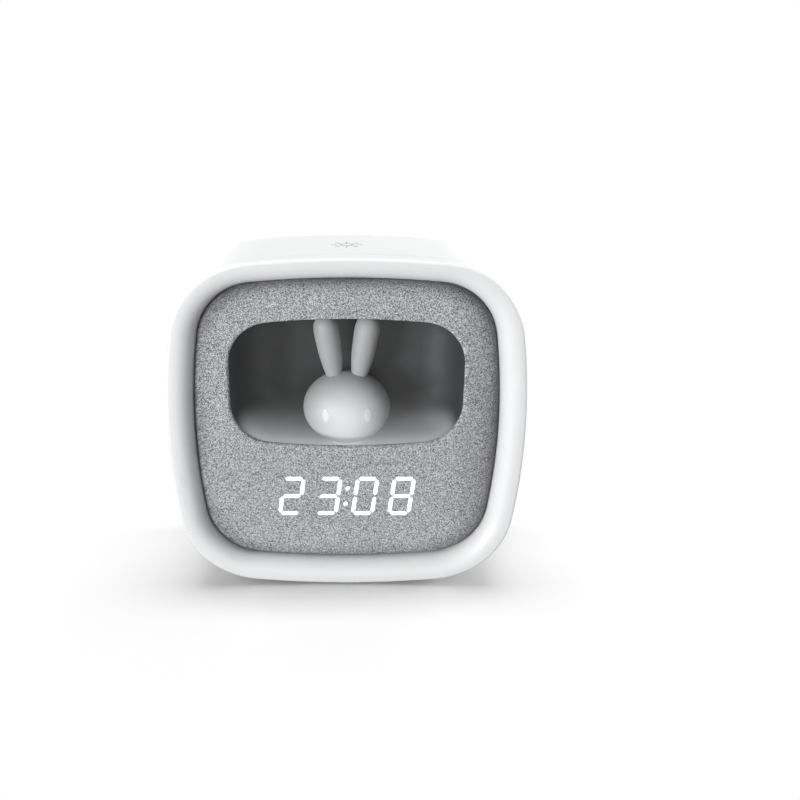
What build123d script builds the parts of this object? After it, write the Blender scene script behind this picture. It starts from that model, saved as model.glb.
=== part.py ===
from build123d import *
import math
import os

# Kids alarm clock with a night light in a niche. Millimetres.
# Frame: origin on the floor below the middle of the clock, +Z up, the face looks along -Y.

# ---------------------------------------------------------------- housing, driving dimensions
WIDTH = 122.0  # across the face, at the middle of the sides
HEIGHT = 118.7  # housing alone, without what the feet add
DEPTH = 47.0  # nose of the bezel to the back face
SIDE_R = 226.0  # crown of the left and right sides
TOP_R = 346.0  # crown of the top and the underside
CORNER_R = 28.6  # corners, tangent to both crowns
WALL = 2.0
BACK_WALL = 2.2
REAR_EDGE_R = 3.0
FOOT_PROUD = 0.6
LINE_CHAMFER = 0.25  # softened edges along the parting line
CLEAR = 0.15  # between neighbouring mouldings
HOLE_CLEAR = 0.05  # round a screw shank, on the radius

# ---------------------------------------------------------------- bezel, panel and cloth
BEZEL_DEPTH = 7.5
BEZEL_RING = 7.85
OPENING_RISE = 0.6  # opening above the middle of the face
OPENING_TRIM = 0.55  # the ring is wider by this at each side
BEZEL_OUTER_R = 1.05
BEZEL_INNER_R = 6.15
PLATE = 1.8  # recessed floor of the bezel
CLOTH = 0.6
CLOTH_DEPTH = 4.0  # cloth face behind the nose of the bezel
CLOTH_EDGE_R = 3.0
CLOTH_LIP_R = 1.0

# ---------------------------------------------------------------- window and niche
WINDOW_W = 78.5
WINDOW_H = 44.2
WINDOW_RISE = 15.7  # above the middle of the face
WINDOW_SIDE_R = 900.0
WINDOW_TOP_R = 290.0
WINDOW_CORNER_R = 14.0
NICHE_SIDE = 1.6  # the niche is wider than the window by this at each side
NICHE_BELOW = 5.8
NICHE_ABOVE = 2.4
NICHE_WALL = 1.6
NICHE_BACK_R = 12.5
NICHE_GAP = 6.0  # between the niche and the inside of the back wall
FLANGE_REACH = 1.5
FLANGE = 1.4
LUG_R = 3.4
LUG_OUT = 2.3  # lug centre out from the side of the niche cup
LUG_RISE = 12.5
NICHE_SCREW_R = 1.0
NICHE_SCREW_BITE = 1.6  # into the front panel

# ---------------------------------------------------------------- rabbit shade
HEAD_R = 15.7  # half width of the head
HEAD_TALL = 13.45  # half height of the head, before the seat cuts it
HEAD_RISE = 13.35  # widest level above the niche floor
HEAD_GAP = 1.55  # mean gap between the head and the two ends of the niche
HEAD_FORWARD = 1.05  # head centre ahead of the middle of the niche
SEAT_PAD = 1.0  # flat seat of the head above the niche floor
SEAT_R = 4.9
SHADE_WALL = 1.6
EAR_BASE_R = 2.3
EAR_WIDE_R = 4.45
EAR_LENGTH = 24.2
EAR_WIDE_AT = 15.9
EAR_FLARE = 0.25  # ear outline's slope at its foot
EAR_X = 4.1
EAR_LEAN = 9.5  # degrees
EAR_SINK = 3.4  # ear foot below the crown of the head
EYE_X = 7.4
EYE_RISE = 0.55  # above the widest level
EYE_W = 2.3
EYE_H = 4.8
EYE_PROUD = 0.3
EYE_SET = 1.0
NECK_R = 4.4
NECK_LENGTH = 3.0
RING_R = 7.0

# ---------------------------------------------------------------- lamp under the shade
LAMP_BOARD_W = 30.0
LAMP_BOARD_L = 15.0
LAMP_BOARD_T = 1.2
LAMP_DROP = 4.2  # lamp board top below the niche floor
LAMP_LED = 2.0
LAMP_LED_T = 0.8
LAMP_LED_PITCH = 1.25
LAMP_SCREW_X = 12.8
POST_BITE = 2.0  # of the lamp and touch board screws into their posts
SMALL_HEAD_T = 1.2
POST_R = 1.9

# ---------------------------------------------------------------- display
DIGIT_H = 15.0
DIGIT_W = 8.3
DIGIT_PITCH = 12.95
DIGIT_DROP = 26.05  # below the middle of the face
SLANT = 7.5  # degrees
SEGMENT_T = 1.45
SEGMENT_GAP = 0.3
SEGMENT_DEEP = 3.0
COLON_R = 0.8
COLON_RISE = 3.0
FILM = 0.2
FRAME_W = 56.0
FRAME_H = 19.0
FRAME_DEEP = 5.0
DISPLAY_BOARD_T = 1.6
DISPLAY_BOARD_RIM = 0.3

# ---------------------------------------------------------------- back: buttons, socket, board
BUTTON_R = 4.8
BUTTON_GAP = 0.3
BUTTON_PITCH = 16.9
BUTTON_DROP = 20.85
BUTTON_TRAVEL = 0.5
BUTTON_DISH = 0.35
BUTTON_RIM = 0.6
BUTTON_FLANGE_R = 5.8
BUTTON_FLANGE = 0.8
BUTTON_STEM_R = 1.6
BUTTON_FREE = 0.1  # flange to the inside of the back wall
SWITCH = 6.0
SWITCH_T = 3.4
PLUNGER_R = 1.7
PLUNGER_PROUD = 1.1
PLUNGER_LONG = 2.1
PLUNGER_CLEAR = 0.06
USB_X = -12.6
USB_DROP = 33.95
USB_SLOT_W = 9.5
USB_SLOT_H = 3.4
USB_W = 8.94
USB_H = 3.26
USB_SHEET = 0.3
USB_TONGUE_W = 6.7
USB_TONGUE_T = 0.7
USB_TONGUE_SHORT = 0.9
PIN_X = -5.3
PIN_R = 0.5
BOARD_T = 1.6
BOARD_TO_WALL = 6.7  # component room between the board and the back wall
BOARD_BELOW_NICHE = 1.75
BOARD_ABOVE_FLOOR = 11.4
BOARD_SCREW_INSET = 2.4
BOARD_BOSS_R = 2.4
BOARD_SCREW_R = 1.0
BOARD_SCREW_BITE = 3.5
CHIP = 10.0
CHIP_T = 1.4
CHIP_X = 9.8
CHIP_RISE = 6.5  # chip centres above the lower edge of the board
CHARGER_X = 17.4
CHARGER_W = 4.0
CHARGER_H = 5.0
CRYSTAL_X = -5.6
CRYSTAL_DROP = 3.4  # below the top edge of the board
CRYSTAL_W = 8.0
CRYSTAL_H = 3.2
CRYSTAL_T = 2.0
CHIP_PART_X = 2.4  # first of the row of resistors and capacitors
CHIP_PART_W = 1.6
CHIP_PART_H = 0.8
CHIP_PART_T = 0.6
CHIP_PART_PITCH = 2.6
CHIP_PART_ROW = 2.4
CHIP_PART_DROP = 3.0  # upper row below the top edge of the board

# ---------------------------------------------------------------- housing screws, plugs and feet
SCREW_BEARING = 39.4  # degrees, from the corner centre of the niche to the screw
SCREW_R = 1.3
SCREW_LONG = 12.0
HEAD_SCREW_R = 2.6
HEAD_SCREW_T = 2.0
BOSS_R = 3.2
BOSS_END = 27.5  # end of the bezel bosses behind the nose
WELL_R = 5.0
WELL_CLEAR = 0.1  # between the screw well and the niche
WELL_SEAT = 3.0
WELL_TO_BOARD = 1.5
PLUG_R = 3.35
PLUG_T = 2.5
PLUG_CLEAR = 0.08
FOOT_R = 4.0
FOOT_X = 27.0
FOOT_BEHIND = 1.0  # front feet behind the parting line
FOOT_SET = 2.0  # foot height inside its pocket and the crown of the underside
FOOT_PAD = 1.6

# ---------------------------------------------------------------- cell, speaker and touch sensor
CELL_R = 9.1
CELL_LONG = 65.0
CELL_DROP = 3.3  # below the middle of the digits
CELL_CAP_T = 0.8
CELL_EDGE_R = 0.8
CELL_CLEAR = 0.1
STRAP_T = 1.0
STRAP_W = 7.0
RIB_T = 2.0
RIB_X = 24.0
SPEAKER_R = 13.0
SPEAKER_FLANGE = 1.0
SPEAKER_RIM = 3.0
SPEAKER_BASKET = 3.4
BASKET_WALL = 0.4
SPEAKER_SEAT = 2.2  # seat ring above the inside of the floor
SPEAKER_BEHIND = 1.6  # speaker rim behind the floor of the bezel
MAGNET_R = 7.0
MAGNET_T = 3.2
CONE_T = 0.4
CONE_RIM = 4.2  # cone edge in from the rim of the speaker
CONE_NECK_R = 4.8
CONE_INSET = 0.3  # cone edge above the seat, and cone neck below the magnet
SOUND_HOLE_R = 0.8
SOUND_RING_R = 6.0
SOUND_HOLES = 8
TOUCH_DEPTH = 24.7  # touch mark behind the nose of the bezel
TOUCH_R = 7.0
TOUCH_PLATE_T = 0.4
TOUCH_PAD = 0.7
TOUCH_BOARD_W = 26.0
TOUCH_BOARD_L = 11.0
TOUCH_RISE = 3.4
SPRING_R = 3.0
SPRING_WIRE_R = 0.25
SPRING_TURNS = 5
LEAD_R = 0.5
LEAD_PITCH = 1.6
LEAD_CLEAR = 0.12  # off the main board
LEAD_OVER = 7.0  # battery leads pass this far above the middle of the cell
LEAD_TURN = 3.4  # room that a lead takes to turn off a board
SOCKET_W = 5.4
SOCKET_H = 3.6
SOCKET_T = 2.2
SOCKET_GAP = 0.6
SOCKET_TO_RIB = 1.0
SOCKET_RISE = 2.6  # socket centres above the lower edge of the board
RIBBON_T = 0.3
RIBBON_W = 8.0
RIBBON_DROP = 2.0  # below the cell
RIBBON_BEND = 2.0
RIBBON_LAP = 2.4  # soldered onto the display board

# ---------------------------------------------------------------- places that follow from these
FRONT_Y = -DEPTH / 2
BACK_Y = DEPTH / 2
MID_Z = FOOT_PROUD + HEIGHT / 2
OPENING_Z = MID_Z + OPENING_RISE
PARTING_Y = FRONT_Y + BEZEL_DEPTH
PLATE_Y = PARTING_Y + PLATE
CLOTH_Y = FRONT_Y + CLOTH_DEPTH
WINDOW_Z = MID_Z + WINDOW_RISE
DIGIT_Z = MID_Z - DIGIT_DROP
BUTTON_Z = MID_Z - BUTTON_DROP
USB_Z = MID_Z - USB_DROP
FLOOR_Z = FOOT_PROUD + WALL
CEILING_Z = FOOT_PROUD + HEIGHT - WALL
PANEL_Y = CLOTH_Y + CLOTH
BACK_INNER_Y = BACK_Y - BACK_WALL
NICHE_LOW = WINDOW_Z - WINDOW_H / 2 - NICHE_BELOW
NICHE_HIGH = WINDOW_Z + WINDOW_H / 2 + NICHE_ABOVE
NICHE_MID = (NICHE_LOW + NICHE_HIGH) / 2
NICHE_BACK_Y = BACK_INNER_Y - NICHE_GAP - NICHE_WALL
HEAD_DEEP = (NICHE_BACK_Y - PLATE_Y) / 2 - HEAD_GAP
HEAD_Y = (NICHE_BACK_Y + PLATE_Y) / 2 - HEAD_FORWARD
HEAD_Z = NICHE_LOW + HEAD_RISE
BOARD_BACK_Y = BACK_INNER_Y - BOARD_TO_WALL
BOARD_FRONT_Y = BOARD_BACK_Y - BOARD_T
BOARD_TOP = NICHE_LOW - NICHE_WALL - BOARD_BELOW_NICHE
BOARD_BOTTOM = FLOOR_Z + BOARD_ABOVE_FLOOR
NICHE_HALF = WINDOW_W / 2 + NICHE_SIDE + NICHE_WALL
NICHE_OUTER_R = WINDOW_CORNER_R + NICHE_SIDE + NICHE_WALL
SCREW_REACH = NICHE_OUTER_R + WELL_R + WELL_CLEAR
SCREW_X = NICHE_HALF - NICHE_OUTER_R + SCREW_REACH * math.cos(math.radians(SCREW_BEARING))
SCREW_UP = SCREW_REACH * math.sin(math.radians(SCREW_BEARING)) - NICHE_OUTER_R
SCREW_RISE = NICHE_HIGH + NICHE_WALL + SCREW_UP - MID_Z
BOSS_END_Y = FRONT_Y + BOSS_END
BOARD_HALF = SCREW_X - WELL_R - WELL_TO_BOARD
FRAME_BACK_Y = PANEL_Y + FRAME_DEEP
DISPLAY_BACK_Y = FRAME_BACK_Y + DISPLAY_BOARD_T
CELL_Y = (DISPLAY_BACK_Y + BOARD_FRONT_Y) / 2
CELL_Z = DIGIT_Z - CELL_DROP
TOUCH_Y = FRONT_Y + TOUCH_DEPTH
FOOT_Y = -PARTING_Y - FOOT_R - FOOT_BEHIND
SPEAKER_Y = PLATE_Y + SPEAKER_R + SPEAKER_BEHIND
LAMP_TOP = NICHE_LOW - LAMP_DROP
LEAD_LANE_Y = BOARD_FRONT_Y - LEAD_R - LEAD_CLEAR
TOUCH_BOARD_Z = NICHE_HIGH + NICHE_WALL + TOUCH_RISE
BUTTONS = {
    "up": -BUTTON_PITCH / 2,
    "down": -BUTTON_PITCH * 1.5,
    "time": BUTTON_PITCH / 2,
    "alarm": BUTTON_PITCH * 1.5,
}
CORNERS = [(-1, -1), (1, -1), (-1, 1), (1, 1)]


# ---------------------------------------------------------------- shared helpers
def crowned(width, height, side_r, top_r, corner_r, grow=0.0):
    """Flat outline of four crowned sides and four tangent corners, moved outward by grow."""
    a, b = width / 2 + grow, height / 2 + grow
    side_r, top_r, corner_r = side_r + grow, top_r + grow, corner_r + grow
    side_c, top_c = Vector(a - side_r, 0), Vector(0, b - top_r)
    reach, rise = side_r - corner_r, top_r - corner_r
    line = top_c - side_c
    span = line.length
    along = (reach**2 - rise**2 + span**2) / (2 * span)
    off = math.sqrt(reach**2 - along**2)
    unit = line / span
    corner = side_c + unit * along + Vector(-unit.Y, unit.X) * off
    if corner.Y < 0 or corner.X < 0:
        corner = side_c + unit * along - Vector(-unit.Y, unit.X) * off
    low = side_c + (corner - side_c).normalized() * side_r
    high = top_c + (corner - top_c).normalized() * top_r
    mid = corner + ((low + high) / 2 - corner).normalized() * corner_r

    def at(point, sx, sy):
        return (point.X * sx, point.Y * sy)

    edges = []
    for sx, sy in CORNERS:
        edges.append(ThreePointArc(at(low, sx, sy), at(mid, sx, sy), at(high, sx, sy)))
    for side in (-1, 1):
        edges.append(ThreePointArc(at(low, side, -1), (a * side, 0), at(low, side, 1)))
        edges.append(ThreePointArc(at(high, -1, side), (0, b * side), at(high, 1, side)))
    return make_face(Wire.combine([edge.edge() for edge in edges])[0].edges())


def slab(shape, front, back, x=0.0, z=0.0):
    """A flat outline standing in XZ, from y = front to y = back."""
    plane = Plane(origin=(x, back, z), x_dir=(1, 0, 0), z_dir=(0, -1, 0))
    return extrude(plane * shape, amount=back - front)


def rod_y(radius, front, back, x=0.0, z=0.0):
    return slab(Circle(radius), front, back, x, z)


def rod_z(radius, low, high, x=0.0, y=0.0):
    return Pos(x, y, (low + high) / 2) * Cylinder(radius, high - low)


def block(low, high):
    """A box between two corners."""
    size = [h - l for l, h in zip(low, high)]
    middle = [(h + l) / 2 for l, h in zip(low, high)]
    return Pos(*middle) * Box(*size)


def fuse(shapes):
    shapes = list(shapes)
    return shapes[0].fuse(*shapes[1:]) if len(shapes) > 1 else shapes[0]


def group(shapes):
    """Separate solids in one node."""
    return Compound([solid for shape in shapes for solid in shape.solids()])


def face_outline(grow=0.0):
    return crowned(WIDTH, HEIGHT, SIDE_R, TOP_R, CORNER_R, grow)


def opening_outline(grow=0.0):
    width = WIDTH - 2 * OPENING_TRIM
    return crowned(width, HEIGHT, SIDE_R, TOP_R, CORNER_R, grow - BEZEL_RING)


def window_outline(grow=0.0):
    return crowned(WINDOW_W, WINDOW_H, WINDOW_SIDE_R, WINDOW_TOP_R, WINDOW_CORNER_R, grow)


def flared_window(grow=0.0):
    """The window's opening, which widens from the face of the cloth back to the sides of the niche."""
    faces = []
    for y, outline in ((CLOTH_Y, window_outline(grow)), (PARTING_Y, window_outline(grow + NICHE_SIDE))):
        faces.append(Plane(origin=(0, y, WINDOW_Z), x_dir=(1, 0, 0), z_dir=(0, -1, 0)) * outline)
    return loft(faces, ruled=True) + slab(window_outline(grow), CLOTH_Y - 1, CLOTH_Y, z=WINDOW_Z)


def niche_outline(grow=0.0):
    return crowned(
        WINDOW_W + 2 * NICHE_SIDE,
        NICHE_HIGH - NICHE_LOW,
        WINDOW_SIDE_R,
        WINDOW_TOP_R,
        WINDOW_CORNER_R + NICHE_SIDE,
        grow,
    )


def screw(shank_r, shank_l, head_r, head_t):
    """A pan-head screw along +Z: the head stands on z = 0 and the shank goes down from it."""
    body = rod_z(head_r, 0, head_t) + rod_z(shank_r, -shank_l, 0)
    rim = body.edges().filter_by(GeomType.CIRCLE).sort_by(Axis.Z)[-1]
    body = fillet(rim, head_t * 0.3)
    slot = head_r * 0.34
    for turn in (0, 90):
        cut = Box(head_r * 1.2, slot, head_t)
        body -= Pos(0, 0, head_t) * Rot(0, 0, turn) * cut
    return body


def facing(direction, x, y, z):
    """Places a piece made along +Z so that +Z becomes the direction."""
    return Plane(origin=(x, y, z), z_dir=direction).location


def lead(points, radii, radius=LEAD_R):
    """A wire along straight runs joined by arcs."""
    path = FilletPolyline(*points, radius=radii)
    start = Plane(origin=path @ 0, z_dir=path % 0)
    return sweep(start * Circle(radius), path=path)


def housing_corners():
    return [(SCREW_X * sx, MID_Z + SCREW_RISE * sz) for sx, sz in CORNERS]


def board_corners():
    x = BOARD_HALF - BOARD_SCREW_INSET
    low, high = BOARD_BOTTOM + BOARD_SCREW_INSET, BOARD_TOP - BOARD_SCREW_INSET
    return [(x * sx, low if sz < 0 else high) for sx, sz in CORNERS]


def lug_places():
    x = NICHE_HALF + LUG_OUT
    return [(x * sx, NICHE_MID + LUG_RISE * sz) for sx, sz in CORNERS]


def foot_places():
    return [(FOOT_X * sx, FOOT_Y * sy) for sx, sy in CORNERS]


# ---------------------------------------------------------------- housing and bezel
def rear_housing():
    shell = slab(face_outline(), PARTING_Y, BACK_Y, z=MID_Z)
    shell = fillet(shell.edges().group_by(Axis.Y)[-1], REAR_EDGE_R)
    shell = chamfer(shell.edges().group_by(Axis.Y)[0], LINE_CHAMFER)
    room = slab(face_outline(-WALL), PARTING_Y - 1, BACK_INNER_Y, z=MID_Z)
    room = fillet(room.edges().group_by(Axis.Y)[-1], max(REAR_EDGE_R - WALL, 0.6))
    envelope = slab(face_outline(-WALL / 2), PLATE_Y + CLEAR, BACK_Y - BACK_WALL / 2, z=MID_Z)
    inside = [rod_y(WELL_R, BOSS_END_Y, BACK_Y, x, z) for x, z in housing_corners()]
    inside += [rod_y(BOARD_BOSS_R, BOARD_BACK_Y, BACK_Y, x, z) for x, z in board_corners()]
    inside += [rod_z(FOOT_R + FOOT_PAD, 0, foot_top() + FOOT_PAD, x, y) for x, y in foot_places()]
    inside += [battery_rib(side) for side in (-1, 1)]
    inside.append(rod_z(SPEAKER_R + 1, 0, FLOOR_Z + SPEAKER_SEAT, 0, SPEAKER_Y))
    inside.append(rod_z(TOUCH_R + 1, CEILING_Z - TOUCH_PAD, CEILING_Z + WALL, 0, TOUCH_Y))
    body = (shell - room) + (fuse(inside) & envelope)
    for x, z in housing_corners():
        body -= rod_y(PLUG_R + PLUG_CLEAR, BACK_Y - PLUG_T, BACK_Y + 1, x, z)
        body -= rod_y(HEAD_SCREW_R + CLEAR, BOSS_END_Y + WELL_SEAT, BACK_Y, x, z)
        body -= rod_y(SCREW_R + HOLE_CLEAR, BOSS_END_Y - 1, BACK_Y, x, z)
    for x, z in board_corners():
        body -= rod_y(BOARD_SCREW_R + HOLE_CLEAR, BOARD_BACK_Y - 1, BACK_INNER_Y - 1, x, z)
    for x in BUTTONS.values():
        body -= rod_y(BUTTON_R + BUTTON_GAP, BACK_INNER_Y - 1, BACK_Y + 1, x, BUTTON_Z)
    body -= slab(SlotOverall(USB_SLOT_W, USB_SLOT_H), BACK_INNER_Y - 1, BACK_Y + 1, USB_X, USB_Z)
    body -= rod_y(PIN_R, BACK_INNER_Y - 1, BACK_Y + 1, PIN_X, USB_Z)
    for x, y in foot_places():
        body -= rod_z(FOOT_R + HOLE_CLEAR, -1, foot_top(), x, y)
    body -= rod_z(SPEAKER_R - 1.5, FLOOR_Z + 0.2, FLOOR_Z + SPEAKER_SEAT + 1, 0, SPEAKER_Y)
    for index in range(SOUND_HOLES):
        angle = 2 * math.pi * index / SOUND_HOLES
        x, y = SOUND_RING_R * math.cos(angle), SOUND_RING_R * math.sin(angle)
        body -= rod_z(SOUND_HOLE_R, -1, FLOOR_Z + 1, x, SPEAKER_Y + y)
    body -= rod_z(SOUND_HOLE_R, -1, FLOOR_Z + 1, 0, SPEAKER_Y)
    return body


def foot_top():
    return FOOT_PROUD + FOOT_SET


def battery_rib(side):
    reach = CELL_R + CELL_CLEAR + STRAP_T
    front, back = CELL_Y - reach, CELL_Y + reach
    low = (side * RIB_X - RIB_T / 2, front, 0)
    high = (side * RIB_X + RIB_T / 2, back, CELL_Z)
    saddle = Pos(side * RIB_X, CELL_Y, CELL_Z) * Rot(0, 90, 0)
    return block(low, high) - saddle * Cylinder(CELL_R + CELL_CLEAR, RIB_T * 2)


def front_bezel():
    ring = slab(face_outline(), FRONT_Y, PARTING_Y, z=MID_Z)
    ring -= slab(opening_outline(), FRONT_Y - 1, PARTING_Y + 1, z=OPENING_Z)
    nose = ring.faces().sort_by(Axis.Y)[0]
    ring = fillet(nose.outer_wire().edges(), BEZEL_OUTER_R)
    nose = ring.faces().filter_by(Axis.Y).sort_by(Axis.Y)[0]
    ring = fillet(nose.inner_wires()[0].edges(), BEZEL_INNER_R)
    rear = ring.faces().filter_by(Axis.Y).sort_by(Axis.Y)[-1]
    ring = chamfer(rear.outer_wire().edges(), LINE_CHAMFER)
    plate = slab(face_outline(-WALL - CLEAR), PARTING_Y, PLATE_Y, z=MID_Z)
    bosses = [rod_y(BOSS_R, PARTING_Y, BOSS_END_Y, x, z) for x, z in housing_corners()]
    body = ring + plate + bosses
    body -= slab(niche_outline(), PARTING_Y - 1, PLATE_Y + 1, z=NICHE_MID)
    body -= slab(display_hole(), PARTING_Y - 1, PLATE_Y + 1, z=DIGIT_Z)
    for x, z in housing_corners():
        body -= rod_y(SCREW_R + HOLE_CLEAR, BOSS_END_Y - SCREW_LONG, BOSS_END_Y + 1, x, z)
    for x, z in lug_places():
        body -= rod_y(NICHE_SCREW_R + HOLE_CLEAR, PARTING_Y - 1, PLATE_Y + 1, x, z)
    return body


def display_hole():
    return Rectangle(FRAME_W + 2 * CLEAR, FRAME_H + 2 * CLEAR)


# ---------------------------------------------------------------- panel and cloth
def panel_block(cloth):
    """The panel's envelope, out to the cloth's outside when cloth is true."""
    grow = -CLEAR if cloth else -CLEAR - CLOTH
    front = CLOTH_Y if cloth else PANEL_Y
    radius = CLOTH_EDGE_R if cloth else CLOTH_EDGE_R - CLOTH
    body = slab(opening_outline(grow), front, PARTING_Y, z=OPENING_Z)
    body = fillet(body.edges().group_by(Axis.Y)[0], radius)
    return body - flared_window(0 if cloth else CLOTH)


def front_panel():
    body = panel_block(cloth=False)
    body -= slab(display_hole(), PANEL_Y - 1, PARTING_Y + 1, z=DIGIT_Z)
    for x, z in lug_places():
        body -= rod_y(NICHE_SCREW_R + HOLE_CLEAR, PANEL_Y + 0.8, PARTING_Y + 1, x, z)
    return body


def fabric_cover():
    body = panel_block(cloth=True)
    face = body.faces().filter_by(Axis.Y).sort_by(Axis.Y)[0]
    body = fillet(face.inner_wires()[0].edges(), CLOTH_LIP_R)
    return body - panel_block(cloth=False)


# ---------------------------------------------------------------- niche, rabbit and lamp
def niche_cup():
    outer = slab(niche_outline(NICHE_WALL), PLATE_Y, NICHE_BACK_Y + NICHE_WALL, z=NICHE_MID)
    outer = fillet(outer.edges().group_by(Axis.Y)[-1], NICHE_BACK_R + NICHE_WALL)
    room = slab(niche_outline(), PLATE_Y - 1, NICHE_BACK_Y, z=NICHE_MID)
    room = fillet(room.edges().group_by(Axis.Y)[-1], NICHE_BACK_R)
    flange = slab(niche_outline(NICHE_WALL + FLANGE_REACH), PLATE_Y, PLATE_Y + FLANGE, z=NICHE_MID)
    lugs = [rod_y(LUG_R, PLATE_Y, PLATE_Y + FLANGE, x, z) for x, z in lug_places()]
    posts = []
    for side in (-1, 1):
        posts.append(rod_z(POST_R, LAMP_TOP, NICHE_LOW - 0.4, side * LAMP_SCREW_X, HEAD_Y))
        posts.append(rod_z(POST_R, NICHE_HIGH + 0.4, TOUCH_BOARD_Z, touch_screw_x(side), TOUCH_Y))
    body = outer + flange + lugs + posts - room
    body += rod_z(SEAT_R, NICHE_LOW - 0.4, NICHE_LOW + SEAT_PAD, 0, HEAD_Y)
    body -= rod_z(NECK_R + HOLE_CLEAR, NICHE_LOW - NICHE_WALL - 1, NICHE_LOW + 1, 0, HEAD_Y)
    for x, z in lug_places():
        body -= rod_y(NICHE_SCREW_R + HOLE_CLEAR, PLATE_Y - 1, PLATE_Y + FLANGE + 1, x, z)
    for side in (-1, 1):
        hole = BOARD_SCREW_R + HOLE_CLEAR
        body -= rod_z(hole, LAMP_TOP - 1, NICHE_LOW - 0.6, side * LAMP_SCREW_X, HEAD_Y)
        body -= rod_z(hole, NICHE_HIGH + 0.6, TOUCH_BOARD_Z + 1, touch_screw_x(side), TOUCH_Y)
    return body


def touch_screw_x(side):
    return side * (TOUCH_BOARD_W / 2 - POST_R - 0.6)


def head_body(grow=0.0):
    """The head, an ellipsoid, moved outward by grow."""
    half = (HEAD_R + grow, HEAD_DEEP + grow, HEAD_TALL + grow)
    return Pos(0, HEAD_Y, HEAD_Z) * scale(Sphere(1), by=half)


def ear(side):
    """One ear, a tapered finger that leans outward."""
    tip = EAR_LENGTH
    profile = Spline(
        (EAR_BASE_R, 0),
        (EAR_WIDE_R, EAR_WIDE_AT),
        (0, tip),
        tangents=((EAR_FLARE, 1), (-1, 0)),
    )
    foot = Polyline((0, tip), (0, 0), (EAR_BASE_R, 0))
    half = make_face([profile.edge(), *foot.edges()])
    body = revolve(Plane.XZ * half, Axis.Z)
    root = HEAD_Z + HEAD_TALL - EAR_SINK
    return Pos(side * EAR_X, HEAD_Y, root) * Rot(0, side * EAR_LEAN, 0) * body


def eye(side):
    place_z = HEAD_Z + EYE_RISE
    shaft = slab(Ellipse(EYE_W / 2, EYE_H / 2), HEAD_Y - HEAD_R - 2, HEAD_Y - 2, side * EYE_X, place_z)
    return (shaft & head_body(EYE_PROUD)) - head_body(-EYE_SET)


def rabbit_eyes():
    return group(eye(side) for side in (-1, 1))


def rabbit_shade():
    seat_z = NICHE_LOW + SEAT_PAD
    below = block((-HEAD_R, HEAD_Y - HEAD_R, 0), (HEAD_R, HEAD_Y + HEAD_R, seat_z))
    head = head_body() - below
    solid = head + [ear(-1), ear(1)]
    neck_low = NICHE_LOW - NECK_LENGTH
    solid += rod_z(NECK_R, neck_low, seat_z + SHADE_WALL, 0, HEAD_Y)
    hollow = head_body(-SHADE_WALL) - block(
        (-HEAD_R, HEAD_Y - HEAD_R, 0), (HEAD_R, HEAD_Y + HEAD_R, seat_z + SHADE_WALL)
    )
    hollow += rod_z(NECK_R - SHADE_WALL, neck_low - 1, seat_z + SHADE_WALL + 1, 0, HEAD_Y)
    return solid - hollow - rabbit_eyes()


def shade_ring():
    low, high = NICHE_LOW - NICHE_WALL - 1.2, NICHE_LOW - NICHE_WALL
    ring = rod_z(RING_R, low, high, 0, HEAD_Y)
    return ring - rod_z(NECK_R + HOLE_CLEAR, low - 1, high + 1, 0, HEAD_Y)


def lamp_board():
    low = (-LAMP_BOARD_W / 2, HEAD_Y - LAMP_BOARD_L / 2, LAMP_TOP - LAMP_BOARD_T)
    high = (LAMP_BOARD_W / 2, HEAD_Y + LAMP_BOARD_L / 2, LAMP_TOP)
    body = block(low, high)
    for side in (-1, 1):
        hole = BOARD_SCREW_R + HOLE_CLEAR
        body -= rod_z(hole, LAMP_TOP - 5, LAMP_TOP + 1, side * LAMP_SCREW_X, HEAD_Y)
    return body


def lamp_leds():
    half = LAMP_LED / 2
    leds = []
    for sx, sy in CORNERS:
        x, y = sx * LAMP_LED_PITCH, HEAD_Y + sy * LAMP_LED_PITCH
        low = (x - half, y - half, LAMP_TOP)
        leds.append(block(low, (x + half, y + half, LAMP_TOP + LAMP_LED_T)))
    return group(leds)


def lamp_screws():
    one = screw(BOARD_SCREW_R, LAMP_BOARD_T + POST_BITE, BOARD_SCREW_R * 1.8, SMALL_HEAD_T)
    under = LAMP_TOP - LAMP_BOARD_T
    return group(
        facing((0, 0, -1), side * LAMP_SCREW_X, HEAD_Y, under) * one for side in (-1, 1)
    )


def niche_screws():
    reach = FLANGE + PLATE + NICHE_SCREW_BITE
    one = screw(NICHE_SCREW_R, reach, NICHE_SCREW_R * 1.9, SMALL_HEAD_T)
    return group(facing((0, 1, 0), x, PLATE_Y + FLANGE, z) * one for x, z in lug_places())


# ---------------------------------------------------------------- display
def bar(length, thickness, x, z, upright):
    """One display segment: a bar with pointed ends."""
    half, side = length / 2, thickness / 2
    points = [(-half, 0), (-half + side, side), (half - side, side)]
    points += [(half, 0), (half - side, -side), (-half + side, -side)]
    face = make_face(Polyline(*points, close=True).edges())
    return Pos(x, z) * Rot(0, 0, 90 if upright else 0) * face


def digit_faces():
    """All seven bars of one upright digit, about its centre."""
    wide, tall = DIGIT_W - SEGMENT_T, (DIGIT_H - SEGMENT_T) / 2
    flat = wide - SEGMENT_GAP * 1.4
    stand = tall - SEGMENT_GAP * 1.4
    faces = [bar(flat, SEGMENT_T, 0, level * tall, False) for level in (-1, 0, 1)]
    for sx, sz in CORNERS:
        faces.append(bar(stand, SEGMENT_T, sx * wide / 2, sz * tall / 2, True))
    return faces


def slanted(solid):
    """Leans a display solid to the right about the display's middle line."""
    shear = math.tan(math.radians(SLANT))
    matrix = Matrix([[1, 0, shear, -shear * DIGIT_Z], [0, 1, 0, 0], [0, 0, 1, 0], [0, 0, 0, 1]])
    return solid.transform_geometry(matrix)


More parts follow.
